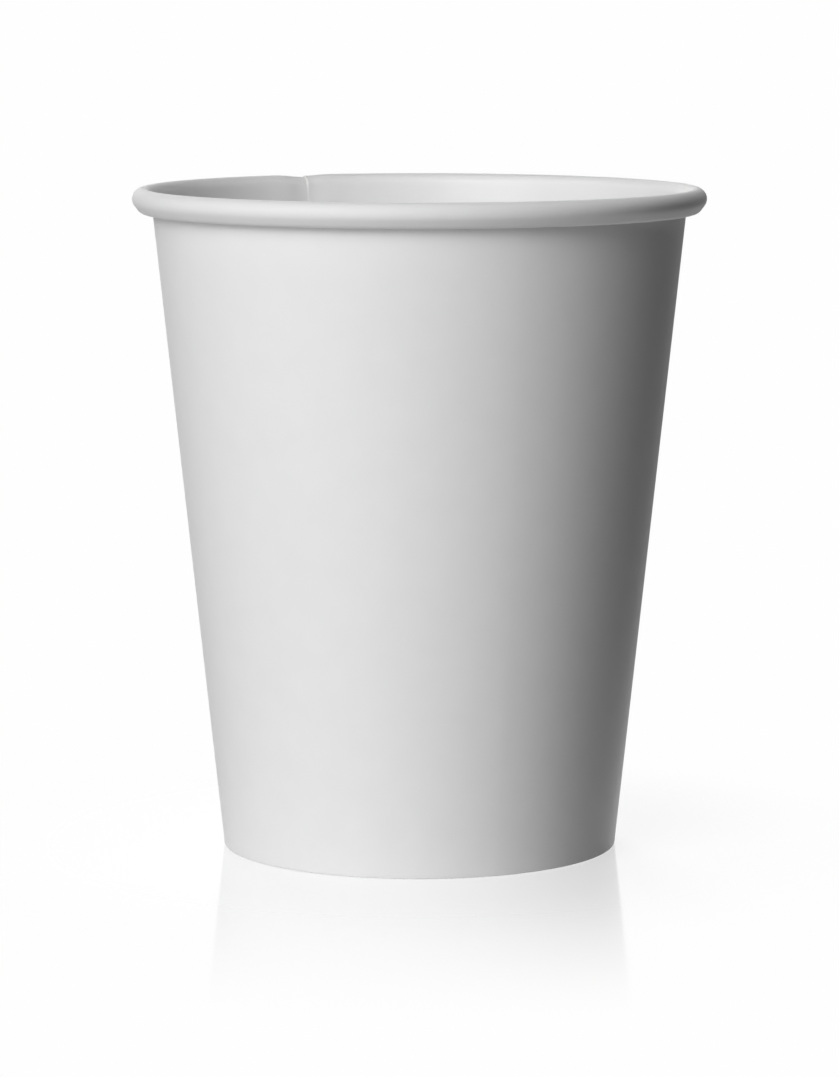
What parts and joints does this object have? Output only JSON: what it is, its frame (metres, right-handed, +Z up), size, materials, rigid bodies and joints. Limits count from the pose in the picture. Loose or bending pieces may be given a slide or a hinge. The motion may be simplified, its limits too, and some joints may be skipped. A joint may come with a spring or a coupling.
{
  "type": "paper coffee cup",
  "caption": "Plain white paper cup for hot drinks, with a tapered wound wall, a lapped side seam, a rolled rim and a recessed base held in a folded hem.",
  "frame": {"origin": "centre of the foot, on the surface that the cup stands on", "axes": "+Z up along the cup's axis, towards the mouth; the side seam is at the back, 111 degrees round from +X towards +Y"},
  "size_m": [0.0804, 0.0804, 0.093],
  "materials": {
    "wall_board": "matt white board outside, smooth coated inside",
    "base_board": "matt white board, smooth coated on the side towards the drink"
  },
  "bodies": {
    "root": {"side_wall": "wall_board", "base_disc": "base_board"}
  },
  "joints": []
}
